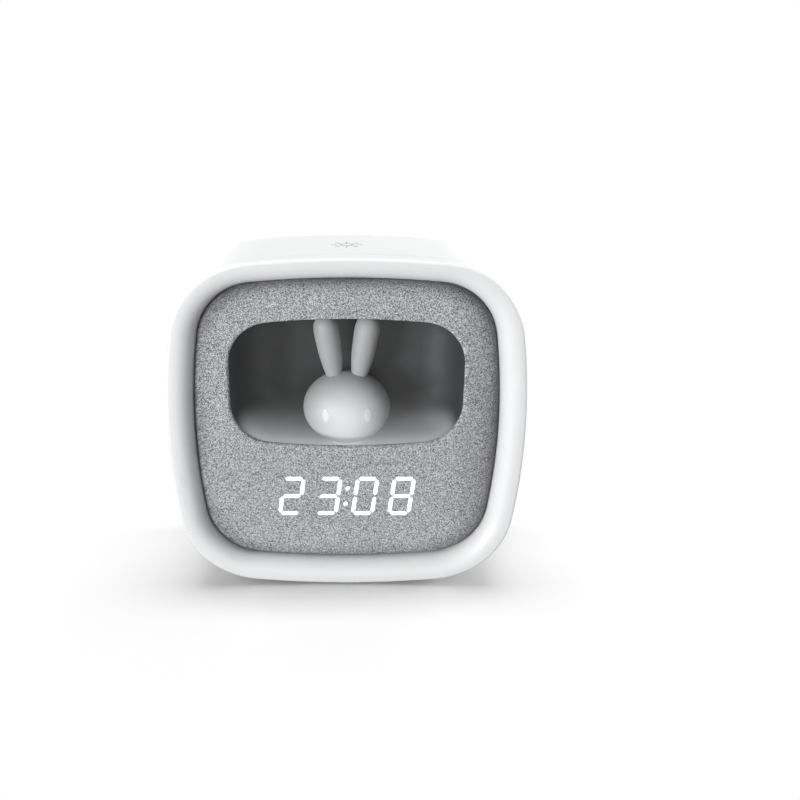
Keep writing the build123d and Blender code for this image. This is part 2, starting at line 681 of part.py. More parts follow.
def segment_solids(grow_back=0.0):
    front, back = PANEL_Y + FILM, PANEL_Y + FILM + SEGMENT_DEEP + grow_back
    solids = []
    for place in (-1.5, -0.5, 0.5, 1.5):
        for face in digit_faces():
            solids.append(slanted(slab(face, front, back, place * DIGIT_PITCH, DIGIT_Z)))
    for sz in (-1, 1):
        x = sz * COLON_RISE * math.tan(math.radians(SLANT))
        solids.append(rod_y(COLON_R, front, back, x, DIGIT_Z + sz * COLON_RISE))
    return solids


def display_segments():
    return group(segment_solids())


def display_frame():
    front, back = PANEL_Y + FILM, FRAME_BACK_Y
    body = slab(Rectangle(FRAME_W, FRAME_H), front, back, z=DIGIT_Z)
    return body - segment_solids(grow_back=0.8)


def display_film():
    return slab(Rectangle(FRAME_W, FRAME_H), PANEL_Y, PANEL_Y + FILM, z=DIGIT_Z)


def display_board():
    face = Rectangle(FRAME_W + 2 * DISPLAY_BOARD_RIM, FRAME_H + 2 * DISPLAY_BOARD_RIM)
    return slab(face, FRAME_BACK_Y, DISPLAY_BACK_Y, z=DIGIT_Z)


# ---------------------------------------------------------------- buttons and switches
def button(x):
    cap_front = BACK_INNER_Y - BUTTON_FREE
    cap = rod_y(BUTTON_R, cap_front, BACK_Y, x, BUTTON_Z)
    cap = fillet(cap.edges().group_by(Axis.Y)[-1], BUTTON_RIM / 2)
    dish_r = ((BUTTON_R - BUTTON_RIM) ** 2 + BUTTON_DISH**2) / (2 * BUTTON_DISH)
    cap -= Pos(x, BACK_Y + dish_r - BUTTON_DISH, BUTTON_Z) * Sphere(dish_r)
    flange_front = cap_front - BUTTON_FLANGE
    flange = rod_y(BUTTON_FLANGE_R, flange_front, cap_front, x, BUTTON_Z)
    stem = rod_y(BUTTON_STEM_R, BOARD_BACK_Y + SWITCH_T + PLUNGER_PROUD, flange_front, x, BUTTON_Z)
    return cap + flange + stem


def plunger(x):
    tip = BOARD_BACK_Y + SWITCH_T + PLUNGER_PROUD
    return rod_y(PLUNGER_R, tip - PLUNGER_LONG, tip, x, BUTTON_Z)


def switch_bodies():
    bodies = []
    for x in BUTTONS.values():
        body = slab(Rectangle(SWITCH, SWITCH), BOARD_BACK_Y, BOARD_BACK_Y + SWITCH_T, x, BUTTON_Z)
        tip = BOARD_BACK_Y + SWITCH_T + PLUNGER_PROUD
        low = tip - PLUNGER_LONG - BUTTON_TRAVEL - 0.3
        bodies.append(body - rod_y(PLUNGER_R + PLUNGER_CLEAR, low, tip, x, BUTTON_Z))
    return group(bodies)


# ---------------------------------------------------------------- main board and socket
def main_board():
    low = (-BOARD_HALF, BOARD_FRONT_Y, BOARD_BOTTOM)
    body = block(low, (BOARD_HALF, BOARD_BACK_Y, BOARD_TOP))
    for x, z in board_corners():
        body -= rod_y(BOARD_SCREW_R + HOLE_CLEAR, BOARD_FRONT_Y - 1, BOARD_BACK_Y + 1, x, z)
    return body


def board_screws():
    one = screw(BOARD_SCREW_R, BOARD_T + BOARD_SCREW_BITE, BOARD_SCREW_R * 1.9, SMALL_HEAD_T)
    return group(facing((0, -1, 0), x, BOARD_FRONT_Y, z) * one for x, z in board_corners())


def on_board(width, height, thickness, x, z):
    """A box on the inner face of the main board."""
    return slab(Rectangle(width, height), BOARD_FRONT_Y - thickness, BOARD_FRONT_Y, x, z)


def control_chips():
    z = BOARD_BOTTOM + CHIP_RISE
    processor = on_board(CHIP, CHIP, CHIP_T, CHIP_X, z)
    charger = on_board(CHARGER_W, CHARGER_H, CHIP_T, CHARGER_X, z)
    return group([processor, charger])


def board_components():
    """Resistors and capacitors in two rows on the inner face of the board."""
    parts = []
    for index in range(12):
        x = CHIP_PART_X + index % 6 * CHIP_PART_PITCH
        z = BOARD_TOP - CHIP_PART_DROP - index // 6 * CHIP_PART_ROW
        parts.append(on_board(CHIP_PART_W, CHIP_PART_H, CHIP_PART_T, x, z))
    face = SlotOverall(CRYSTAL_W, CRYSTAL_H)
    z = BOARD_TOP - CRYSTAL_DROP
    crystal = slab(face, BOARD_FRONT_Y - CRYSTAL_T, BOARD_FRONT_Y, CRYSTAL_X, z)
    return group([*parts, crystal])


def socket_places():
    """Lead sockets on the lower edge of the board: battery, lamp, speaker."""
    first = -RIB_X + RIB_T / 2 + SOCKET_TO_RIB + SOCKET_W / 2
    z = BOARD_BOTTOM + SOCKET_RISE
    return [(first + index * (SOCKET_W + SOCKET_GAP), z) for index in range(3)]


def lead_sockets():
    return group(on_board(SOCKET_W, SOCKET_H, SOCKET_T, x, z) for x, z in socket_places())


def usb_shell():
    outer = slab(SlotOverall(USB_W, USB_H), BOARD_BACK_Y, BACK_INNER_Y - 0.1, USB_X, USB_Z)
    wide, high = USB_W - 2 * USB_SHEET, USB_H - 2 * USB_SHEET
    return outer - slab(SlotOverall(wide, high), BOARD_BACK_Y + 0.8, BACK_INNER_Y, USB_X, USB_Z)


def usb_tongue():
    face = Rectangle(USB_TONGUE_W, USB_TONGUE_T)
    return slab(face, BOARD_BACK_Y + 0.8, BACK_INNER_Y - USB_TONGUE_SHORT, USB_X, USB_Z)


def charge_led():
    return slab(Rectangle(1.6, 0.8), BOARD_BACK_Y, BOARD_BACK_Y + 0.6, PIN_X, USB_Z)


# ---------------------------------------------------------------- cell, speaker, touch sensor
def battery_cell():
    body = Rot(0, 90, 0) * Cylinder(CELL_R, CELL_LONG)
    body = fillet(body.edges().filter_by(GeomType.CIRCLE), CELL_EDGE_R)
    cap = Rot(0, 90, 0) * Cylinder(CELL_R * 0.35, CELL_CAP_T)
    cap = Pos((CELL_LONG + CELL_CAP_T) / 2, 0, 0) * cap
    return Pos(0, CELL_Y, CELL_Z) * (body + cap)


def battery_straps():
    straps = []
    inner = CELL_R + CELL_CLEAR
    for side in (-1, 1):
        arch = Rot(0, 90, 0) * (Cylinder(inner + STRAP_T, STRAP_W) - Cylinder(inner, STRAP_W))
        upper = block((-STRAP_W, -CELL_R * 2, 0), (STRAP_W, CELL_R * 2, CELL_R * 2))
        straps.append(Pos(side * RIB_X, CELL_Y, CELL_Z) * (arch & upper))
    return group(straps)


def speaker_frame():
    low = FLOOR_Z + SPEAKER_SEAT
    tall = SPEAKER_FLANGE + SPEAKER_BASKET
    flange = rod_z(SPEAKER_R, low, low + SPEAKER_FLANGE)
    basket = Pos(0, 0, low + SPEAKER_FLANGE + SPEAKER_BASKET / 2)
    basket = basket * Cone(SPEAKER_R - SPEAKER_RIM, MAGNET_R, SPEAKER_BASKET)
    deep = tall - 2 * BASKET_WALL
    room = Pos(0, 0, low + deep / 2)
    room = room * Cone(SPEAKER_R - SPEAKER_RIM - BASKET_WALL, MAGNET_R - SPEAKER_FLANGE, deep)
    vent = rod_z(SPEAKER_FLANGE, low + deep - SPEAKER_FLANGE, low + tall + 1)
    return Pos(0, SPEAKER_Y, 0) * ((flange + basket) - room - vent)


def speaker_cone():
    low = FLOOR_Z + SPEAKER_SEAT + CONE_INSET
    tall = SPEAKER_BASKET - 2 * CONE_INSET
    outer = Cone(SPEAKER_R - CONE_RIM, CONE_NECK_R, tall)
    inner = Pos(0, 0, -CONE_T) * Cone(SPEAKER_R - CONE_RIM, CONE_NECK_R, tall)
    return Pos(0, SPEAKER_Y, low + tall / 2) * (outer - inner)


def speaker_magnet():
    low = FLOOR_Z + SPEAKER_SEAT + SPEAKER_FLANGE + SPEAKER_BASKET
    body = rod_z(MAGNET_R, low, low + MAGNET_T, 0, SPEAKER_Y)
    return chamfer(body.edges().group_by(Axis.Z)[-1], 0.5)


def touch_plate():
    high = CEILING_Z - TOUCH_PAD
    return rod_z(TOUCH_R, high - TOUCH_PLATE_T, high, 0, TOUCH_Y)


def touch_board():
    low = (-TOUCH_BOARD_W / 2, TOUCH_Y - TOUCH_BOARD_L / 2, TOUCH_BOARD_Z)
    high = (TOUCH_BOARD_W / 2, TOUCH_Y + TOUCH_BOARD_L / 2, TOUCH_BOARD_Z + LAMP_BOARD_T)
    body = block(low, high)
    for side in (-1, 1):
        hole = BOARD_SCREW_R + HOLE_CLEAR
        body -= rod_z(hole, TOUCH_BOARD_Z - 1, TOUCH_BOARD_Z + 3, touch_screw_x(side), TOUCH_Y)
    return body


def touch_screws():
    one = screw(BOARD_SCREW_R, LAMP_BOARD_T + POST_BITE, BOARD_SCREW_R * 1.8, SMALL_HEAD_T)
    high = TOUCH_BOARD_Z + LAMP_BOARD_T
    return group(Pos(touch_screw_x(side), TOUCH_Y, high) * one for side in (-1, 1))


def touch_spring():
    low = TOUCH_BOARD_Z + LAMP_BOARD_T + SPRING_WIRE_R
    tall = CEILING_Z - TOUCH_PAD - TOUCH_PLATE_T - SPRING_WIRE_R - low
    coil = Helix(pitch=tall / SPRING_TURNS, height=tall, radius=SPRING_R)
    start = Plane(origin=coil @ 0, z_dir=coil % 0)
    wire = sweep(start * Circle(SPRING_WIRE_R), path=coil, is_frenet=True)
    return Pos(0, TOUCH_Y, low) * wire


# ---------------------------------------------------------------- leads
def wire_pair(points, radii, pitch=LEAD_PITCH):
    """Two equal wires side by side along X."""
    wires = []
    for side in (-1, 1):
        moved = [(x + side * pitch / 2, y, z) for x, y, z in points]
        wires.append(lead(moved, radii))
    return wires


def battery_leads():
    """From the end of the cell, over the strap and down to the first socket."""
    socket_x, z = socket_places()[0]
    out = -CELL_LONG / 2 - LEAD_TURN
    wires = []
    for side in (-1, 1):
        x, start_z = socket_x + side * LEAD_PITCH / 2, CELL_Z + side * LEAD_PITCH
        points = [(-CELL_LONG / 2, CELL_Y, start_z), (out, CELL_Y, start_z)]
        over = CELL_Z + LEAD_OVER + side * LEAD_PITCH / 2
        points += [(out, LEAD_LANE_Y, over), (x, LEAD_LANE_Y, over)]
        points.append((x, LEAD_LANE_Y, z + SOCKET_H / 2))
        wires.append(lead(points, [1.4, 2.5, 1.6]))
    return group(wires)


def lamp_leads():
    """From the second socket, up behind the cell and forward to the lamp board."""
    x, z = socket_places()[1]
    under = LAMP_TOP - LAMP_BOARD_T
    run = under - LEAD_TURN * 0.6
    end_x, end_y = -LAMP_SCREW_X + 4 * LEAD_R, HEAD_Y + LAMP_BOARD_L / 2 - 2
    points = [(x, LEAD_LANE_Y, z + SOCKET_H / 2), (x, LEAD_LANE_Y, run)]
    points += [(end_x, end_y, run), (end_x, end_y, under)]
    return group(wire_pair(points, [3.0, 1.5]))


def speaker_leads():
    """From the third socket, down and forward to the rim of the speaker."""
    x, z = socket_places()[2]
    rim = FLOOR_Z + SPEAKER_SEAT + SPEAKER_FLANGE
    run = rim + LEAD_TURN * 0.7
    reach = (SPEAKER_R - 0.9) * math.sqrt(0.5)
    points = [(x, LEAD_LANE_Y, z - SOCKET_H / 2), (x, LEAD_LANE_Y, run)]
    points += [(-reach, SPEAKER_Y + reach, run), (-reach, SPEAKER_Y + reach, rim)]
    return group(wire_pair(points, [1.2, 1.2]))


def touch_lead():
    """From the touch board, down beside the niche, to the main board."""
    high = TOUCH_BOARD_Z + LAMP_BOARD_T / 2
    side_x = (WIDTH / 2 - WALL + NICHE_HALF) / 2 + 2 * LEAD_R
    end_x, end_z = CELL_LONG / 2 + CELL_CAP_T + 2 * LEAD_R, CELL_Z
    lane = BOARD_FRONT_Y - LEAD_TURN * 0.75
    points = [(TOUCH_BOARD_W / 2, TOUCH_Y, high), (SCREW_X - BOSS_R, TOUCH_Y, high)]
    points += [(side_x, TOUCH_Y, MID_Z + SCREW_RISE), (side_x, TOUCH_Y, WINDOW_Z - WINDOW_H / 2)]
    points += [(SCREW_X, lane, BOARD_TOP - WELL_R), (end_x, lane, end_z), (end_x, BOARD_FRONT_Y, end_z)]
    return lead(points, [8.0, 8.0, 8.0, 6.0, 1.0])


def display_ribbon():
    """Flat cable from the display board, under the cell, to the main board."""
    low = CELL_Z - CELL_R - RIBBON_DROP
    front, back = DISPLAY_BACK_Y, BOARD_FRONT_Y
    half = RIBBON_W / 2
    outer = block((-half, front, low), (half, back, DIGIT_Z - FRAME_H / 2 + RIBBON_LAP))
    outer = fillet(outer.edges().filter_by(Axis.X).group_by(Axis.Z)[0], RIBBON_BEND)
    low_in = low + RIBBON_T
    room = block((-half - 1, front + RIBBON_T, low_in), (half + 1, back - RIBBON_T, MID_Z))
    room = fillet(room.edges().filter_by(Axis.X).group_by(Axis.Z)[0], RIBBON_BEND - RIBBON_T)
    return outer - room


# ---------------------------------------------------------------- screws, plugs and feet
def housing_screws():
    one = screw(SCREW_R, SCREW_LONG, HEAD_SCREW_R, HEAD_SCREW_T)
    y = BOSS_END_Y + WELL_SEAT
    return group(facing((0, 1, 0), x, y, z) * one for x, z in housing_corners())


def screw_plugs():
    plugs = []
    for x, z in housing_corners():
        plug = rod_y(PLUG_R, BACK_Y - PLUG_T, BACK_Y, x, z)
        plugs.append(chamfer(plug.edges().group_by(Axis.Y)[-1], 0.2))
    return group(plugs)


def rubber_feet():
    feet = []
    for x, y in foot_places():
        foot = rod_z(FOOT_R, 0, foot_top(), x, y)
        feet.append(fillet(foot.edges().group_by(Axis.Z)[0], 0.3))
    return group(feet)


NODES = [
    rear_housing,
    front_bezel,
    front_panel,
    fabric_cover,
    niche_cup,
    niche_screws,
    rabbit_shade,
    rabbit_eyes,
    shade_ring,
    lamp_board,
    lamp_leds,
    lamp_screws,
    display_frame,
    display_segments,
    display_film,
    display_board,
    main_board,
    board_screws,
    control_chips,
    board_components,
    lead_sockets,
    usb_shell,
    usb_tongue,
    charge_led,
    switch_bodies,
    battery_cell,
    battery_straps,
    speaker_frame,
    speaker_cone,
    speaker_magnet,
    touch_plate,
    touch_spring,
    touch_board,
    touch_screws,
    battery_leads,
    lamp_leads,
    speaker_leads,
    touch_lead,
    display_ribbon,
    housing_screws,
    screw_plugs,
    rubber_feet,
]

os.makedirs("parts", exist_ok=True)
for make in NODES:
    export_step(make(), f"parts/{make.__name__}.step")
for name, place_x in BUTTONS.items():
    export_step(button(place_x), f"parts/button_{name}.step")
    export_step(plunger(place_x), f"parts/plunger_{name}.step")
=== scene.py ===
import bpy
import math
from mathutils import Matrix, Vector


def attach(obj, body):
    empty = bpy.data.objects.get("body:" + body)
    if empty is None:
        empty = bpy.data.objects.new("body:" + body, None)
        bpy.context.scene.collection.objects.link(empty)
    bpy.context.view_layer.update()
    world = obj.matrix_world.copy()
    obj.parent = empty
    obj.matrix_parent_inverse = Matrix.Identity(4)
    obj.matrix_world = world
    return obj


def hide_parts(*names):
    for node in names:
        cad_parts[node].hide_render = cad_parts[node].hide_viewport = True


# Kids alarm clock with a night light: looks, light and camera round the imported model.
# Blender works in metres and the sizes here are in mm. +Z up, the cloth face looks along -Y.
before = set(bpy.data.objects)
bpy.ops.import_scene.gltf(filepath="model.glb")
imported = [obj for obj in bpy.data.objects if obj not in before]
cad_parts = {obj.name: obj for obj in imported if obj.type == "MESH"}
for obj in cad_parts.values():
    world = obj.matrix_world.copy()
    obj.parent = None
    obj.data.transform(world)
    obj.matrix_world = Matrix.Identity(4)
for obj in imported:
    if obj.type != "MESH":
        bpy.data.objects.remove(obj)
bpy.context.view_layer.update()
MM = 0.001

# ---------------------------------------------------------------- sizes, as in the CAD model (mm)
WIDTH, HEIGHT, DEPTH = 122.0, 118.7, 47.0
SIDE_R, TOP_R, CORNER_R = 226.0, 346.0, 28.6
FOOT_PROUD = 0.6
BEZEL_DEPTH, BEZEL_RING = 7.5, 7.85
OPENING_RISE, OPENING_TRIM = 0.6, 0.55  # the opening sits higher, and is narrower by this at each side
CLEAR = 0.15  # between the covered panel and the bezel's opening
CLOTH_DEPTH, CLOTH_EDGE_R, CLOTH_LIP_R = 4.0, 3.0, 1.0
WINDOW_W, WINDOW_H, WINDOW_Z = 78.5, 44.2, 75.65
WINDOW_SIDE_R, WINDOW_TOP_R, WINDOW_CORNER_R = 900.0, 290.0, 14.0
NICHE_SIDE, NICHE_FLOOR, HEAD_Y = 1.6, 47.75, -1.3  # wider than the window at each side, height, depth
DIGIT_H, DIGIT_W, DIGIT_PITCH, DIGIT_Z = 15.0, 8.3, 12.95, 33.9
SLANT, SEGMENT_T = 7.5, 1.45  # degrees, and mm
COLON_R, COLON_RISE = 0.8, 3.0
BUTTON_PITCH, BUTTON_Z = 16.9, 39.1
TOUCH_DEPTH = 24.7
FRONT_Y, BACK_Y = -DEPTH / 2, DEPTH / 2
OPENING_Z = FOOT_PROUD + HEIGHT / 2 + OPENING_RISE
PARTING_Y = FRONT_Y + BEZEL_DEPTH
CLOTH_Y = FRONT_Y + CLOTH_DEPTH
TOUCH_Y = FRONT_Y + TOUCH_DEPTH

# ---------------------------------------------------------------- colours and looks
WHITE, PLUG_WHITE = (0.86, 0.865, 0.87), (0.83, 0.835, 0.84)
PARTING_SHADE, LINE_HALF = (0.30, 0.30, 0.31, 1.0), 0.2  # painted shade in the parting line, and half its width in mm
NOISE_MOST = (0.3, 0.7)  # most of a noise lies between these two
FLOW = (14.0, 3.0)  # size in mm and detail of a moulding's mottle
SHELL_MOTTLE = 0.02

# The niche's dark grey, and the floor's paler greys: painted shade towards the back, painted light at the
# front
NICHE_DARK, NICHE_BACK_SHADE, NICHE_FRONT_LIT = (0.035, 0.036, 0.038), (0.16, 0.162, 0.165), (0.60, 0.605, 0.61)
NICHE_SHADE_FADE = (-0.5, 12.5)  # mm about the floor, where the painted shade starts and ends, darkening the grey upwards
NICHE_LIGHT_FRONT = (-4.0, 12.0)  # mm, y where the floor's painted light is full and where its painted shade is full
NICHE_PAINTED_SPILL = (0.06, 0.29)  # painted light: the lamp's spill as emission on the back and on the front of the floor
NICHE_PAINTED_GLOW = 0.014  # painted light: a faint emission all over the niche

GLOW_TINT = (0.97, 0.985, 1.0, 1.0)
GLOW_AT, GLOW_REACH = (0.0, HEAD_Y - 9.0, 59.3), 18.0  # mm, where the lamp shows through the face

THREAD = 0.27  # mm, pitch of the weave
YARN_DARK, YARN_LIGHT = (0.15, 0.155, 0.165, 1.0), (0.97, 0.98, 1.0, 1.0)
YARN_TONES = (0.38, 0.62)  # the yarn's noise where it is all dark and where it is all light
WARP_NOISE, WEFT_NOISE = (17.31, 3.7), (13.77, 91.3)  # step from thread to thread, and the noise layer
CLUMP = 0.5  # a yarn keeps its tone over about one divided by this many threads
# the second colour is painted shade along the cloth's border
GAP_DARK, BORDER_SHADE = (0.05, 0.052, 0.056, 1.0), (0.02, 0.02, 0.022, 1.0)
GAP_LIGHT, GAP_HEIGHT = 0.55, 0.45  # yarn colour left in a gap, and the thread height where it is whole
BORDER_HALF, BORDER_MIDDLE = (52.6, 51.5), 60.5  # mm, half the opening and the height of its middle
BORDER_POWER = 4.0  # how square the shaded border is
BORDER_REACH, BORDER_DEEP = (0.86, 1.0), 0.8  # where the shade starts and ends, and how deep it gets
BORDER_RIGHT = (34.0, 52.0)  # mm, where the wider shade at the right starts and ends
BORDER_RIGHT_LIGHT = 0.6  # what is left of the light at the right border


# ---------------------------------------------------------------- node trees
class Tree:
    """A material with one Principled shader, and short calls to add nodes to it."""

    def __init__(self, name, colour, roughness):
        self.material = bpy.data.materials.new(name)
        self.material.use_nodes = True
        self.tree = self.material.node_tree
        self.shader = self.tree.nodes["Principled BSDF"]
        self.set("Base Color", (*colour, 1.0))
        self.set("Roughness", roughness)
        self.place = self.node("ShaderNodeTexCoord").outputs["Object"]

    def node(self, kind, **settings):
        made = self.tree.nodes.new(kind)
        for key, value in settings.items():
            setattr(made, key, value)
        return made

    def feed(self, socket, value):
        if isinstance(value, bpy.types.NodeSocket):
            self.tree.links.new(value, socket)
        else:
            socket.default_value = value

    def set(self, name, value):
        self.feed(self.shader.inputs[name], value)

    def math(self, operation, *values):
        made = self.node("ShaderNodeMath", operation=operation)
        for socket, value in zip(made.inputs, values):
            self.feed(socket, value)
        return made.outputs[0]

    def vector(self, x, y, z):
        made = self.node("ShaderNodeCombineXYZ")
        for socket, value in zip(made.inputs, (x, y, z)):
            self.feed(socket, value)
        return made.outputs[0]

    def split(self):
        """The place in the object, as x, y and z."""
        made = self.node("ShaderNodeSeparateXYZ")
        self.feed(made.inputs[0], self.place)
        return made.outputs

    def noise_at(self, vector, scale, detail, roughness=0.5):
        made = self.node("ShaderNodeTexNoise")
        self.feed(made.inputs["Vector"], vector)
        made.inputs["Scale"].default_value = scale
        made.inputs["Detail"].default_value = detail
        made.inputs["Roughness"].default_value = roughness
        return made.outputs["Fac"]

    def noise(self, size, detail=2.0, roughness=0.5):
        """Noise of about this feature size in mm, from 0 to 1."""
        return self.noise_at(self.place, 1.0 / (size * MM), detail, roughness)

    def spread(self, value, low, high, to_low, to_high, curve="LINEAR"):
        made = self.node("ShaderNodeMapRange", interpolation_type=curve)
        for socket, number in zip(made.inputs, (value, low, high, to_low, to_high)):
            self.feed(socket, number)
        return made.outputs[0]

    def mix(self, factor, first, second):
        made = self.node("ShaderNodeMix", data_type="RGBA")
        self.feed(made.inputs[0], factor)
        self.feed(made.inputs[6], first)
        self.feed(made.inputs[7], second)
        return made.outputs[2]

    def mottled(self, noise, colour, share):
        """The colour, darker and lighter by this share with the noise."""
        return self.mix(noise, shade(colour, 1 - share), shade(colour, 1 + share))

    def bump(self, height, distance):
        """Bump of this height in mm."""
        made = self.node("ShaderNodeBump")
        made.inputs["Distance"].default_value = distance * MM
        made.inputs["Strength"].default_value = 1.0
        self.feed(made.inputs["Height"], height)
        self.set("Normal", made.outputs["Normal"])


def shade(colour, factor):
    """The colour times a factor, as RGBA."""
    return (*(min(1.0, part * factor) for part in colour), 1.0)


# ---------------------------------------------------------------- materials of the hard pieces
def grained(name, colour, roughness, grain=0.18, depth=0.006):
    """A plastic moulding in one colour: spark-eroded grain and uneven gloss."""
    made = Tree(name, colour, roughness)
    patches = made.noise(5.0, 4.0, roughness=0.6)
    made.set("Roughness", made.spread(patches, *NOISE_MOST, roughness - 0.04, roughness + 0.05))
    made.bump(made.noise(grain), depth)
    return made


def moulded(name, colour, roughness, mottle=SHELL_MOTTLE, **surface):
    """A plastic moulding with faint flow mottle."""
    made = grained(name, colour, roughness, **surface)
    made.set("Base Color", made.mottled(made.noise(*FLOW), colour, mottle))
    return made


def plain(name, colour, roughness, **settings):
    """The material of a plain moulding."""
    return moulded(name, colour, roughness, **settings).material


def shell_white(name):
    """White moulding with a line of painted shade where bezel and housing meet."""
    made = grained(name, WHITE, 0.42)
    white = made.mottled(made.noise(*FLOW), WHITE, SHELL_MOTTLE)
    # Painted shade: a grey line along the parting plane stands in for the shade in its groove.
    off = made.math("ABSOLUTE", made.math("SUBTRACT", made.split()[1], PARTING_Y * MM))
    line = made.spread(off, LINE_HALF * 0.5 * MM, LINE_HALF * MM, 1.0, 0.0)
    made.set("Base Color", made.mix(line, white, PARTING_SHADE))
    return made.material


def metal(name, colour, roughness):
    """Plated or pressed metal with a fine drawn grain and duller patches."""
    made = Tree(name, colour, roughness)
    made.set("Metallic", 1.0)
    patches = made.noise(1.6, 4.0)
    made.set("Base Color", made.mix(patches, shade(colour, 0.86), shade(colour, 1.08)))
    made.set("Roughness", made.spread(patches, *NOISE_MOST, roughness - 0.07, roughness + 0.1))
    made.bump(made.noise(0.12), 0.004)
    return made.material


def circuit_board(name):
    """Green solder mask over copper tracks, with the weave of the glass cloth under it."""
    made = Tree(name, (0.02, 0.16, 0.08), 0.32)
    tracks = made.node("ShaderNodeTexVoronoi", feature="DISTANCE_TO_EDGE", distance="CHEBYCHEV")
    tracks.inputs["Scale"].default_value = 1.0 / (2.6 * MM)
    made.feed(tracks.inputs["Vector"], made.place)
    line = made.math("LESS_THAN", tracks.outputs["Distance"], 0.09)
    made.set("Base Color", made.mix(line, (0.012, 0.11, 0.055, 1.0), (0.05, 0.27, 0.12, 1.0)))
    glass = made.noise(0.5, 1.0)
    made.bump(made.math("ADD", line, made.math("MULTIPLY", glass, 0.25)), 0.02)
    return made.material


def niche_grey(name):
    """Dark grey moulding with painted shade and painted light: darker upwards and towards the back, paler
    and glowing on its floor towards the front.
    """
    made = grained(name, NICHE_DARK, 0.6, grain=0.3, depth=0.008)
    low, high = ((NICHE_FLOOR + part) * MM for part in NICHE_SHADE_FADE)
    floor_lit_share = made.spread(made.split()[2], low, high, 1.0, 0.0, curve="SMOOTHERSTEP")
    near, far = (part * MM for part in NICHE_LIGHT_FRONT)
    front_lit_share = made.spread(made.split()[1], near, far, 1.0, 0.0)
    dusty = made.noise(6.0, 3.0)
    dark = made.mottled(dusty, NICHE_DARK, 0.05)
    back_shade, front_lit = (made.mottled(dusty, grey, 0.03) for grey in (NICHE_BACK_SHADE, NICHE_FRONT_LIT))
    # Painted shade and painted light: the grey darkens upwards and towards the back, and is pale at the
    # front of the floor.
    made.set("Base Color", made.mix(floor_lit_share, dark, made.mix(front_lit_share, back_shade, front_lit)))
    # Painted light: emission stands in for the lamp's spill on the floor and for a faint glow all over the
    # niche.
    lamp = made.spread(front_lit_share, 0.0, 1.0, *NICHE_PAINTED_SPILL)
    made.set("Emission Color", GLOW_TINT)
    made.set("Emission Strength", made.math("ADD", made.math("MULTIPLY", floor_lit_share, lamp), NICHE_PAINTED_GLOW))
    return made.material


def silicone(name, colour, roughness, glow):
    """Soft translucent skin, with a powdery bloom on top, and a faint lamp behind the face."""
    made = moulded(name, colour, roughness, mottle=0.012, grain=0.25, depth=0.006)
    reach = made.node("ShaderNodeVectorMath", operation="DISTANCE")
    made.feed(reach.inputs[0], made.place)
    reach.inputs[1].default_value = [part * MM for part in GLOW_AT]
    fade = made.spread(reach.outputs["Value"], 0.0, GLOW_REACH * MM, glow, 0.0, curve="SMOOTHSTEP")
    made.set("Emission Color", GLOW_TINT)
    made.set("Emission Strength", fade)
    made.set("Subsurface Weight", 0.25)
    made.set("Subsurface Radius", (0.0022, 0.002, 0.0018))
    made.set("Subsurface Scale", 1.0)
    made.set("Sheen Weight", 0.1)
    return made.material


# ---------------------------------------------------------------- materials of the cloth
def weave(made):
    """Plain weave of melange yarn: returns the yarn's tone and the thread's height."""
    x, y, z = made.split()
    across = made.math("DIVIDE", made.math("ADD", x, y), THREAD * MM)
    along = made.math("DIVIDE", made.math("ADD", z, y), THREAD * MM)
    column, row = made.math("FLOOR", across), made.math("FLOOR", along)
    over = made.math("FLOORED_MODULO", made.math("ADD", column, row), 2.0)
    crown = []
    for part in (across, along):
        wave = made.math("SINE", made.math("MULTIPLY", made.math("FRACT", part), math.pi))
        crown.append(made.math("POWER", wave, 0.7))
    height = made.math("MULTIPLY", *crown)
    yarns = []
    for thread, way, (step, layer) in ((column, along, WARP_NOISE), (row, across, WEFT_NOISE)):
        place = made.vector(made.math("MULTIPLY", thread, step), made.math("MULTIPLY", way, CLUMP), layer)
        yarns.append(made.noise_at(place, 1.0, 1.0))
    pick = made.node("ShaderNodeMix")
    made.feed(pick.inputs[0], over)
    made.feed(pick.inputs[2], yarns[0])
    made.feed(pick.inputs[3], yarns[1])
    fibre = made.math("MULTIPLY", made.math("SUBTRACT", made.noise(0.16), 0.5), 0.25)
    return made.math("ADD", pick.outputs[0], fibre), height


def border_light(made):
    """Painted shade: 1 on the open cloth, less along its border, where the bezel's slope would shade it,
    most at the right.
    """
    x, y, z = made.split()
    powers = []
    for value, middle, half in ((x, 0.0, BORDER_HALF[0]), (z, BORDER_MIDDLE, BORDER_HALF[1])):
        share = made.math("DIVIDE", made.math("SUBTRACT", value, middle * MM), half * MM)
        powers.append(made.math("POWER", made.math("ABSOLUTE", share), BORDER_POWER))
    reach = made.math("POWER", made.math("ADD", *powers), 1.0 / BORDER_POWER)
    rim = made.spread(reach, *BORDER_REACH, 0.0, 1.0)
    rim_shade = made.math("MULTIPLY", made.math("MULTIPLY", rim, rim), BORDER_DEEP)
    start, end = (part * MM for part in BORDER_RIGHT)
    right = made.spread(x, start, end, 1.0, BORDER_RIGHT_LIGHT)
    return made.math("MULTIPLY", made.math("SUBTRACT", 1.0, rim_shade), right)


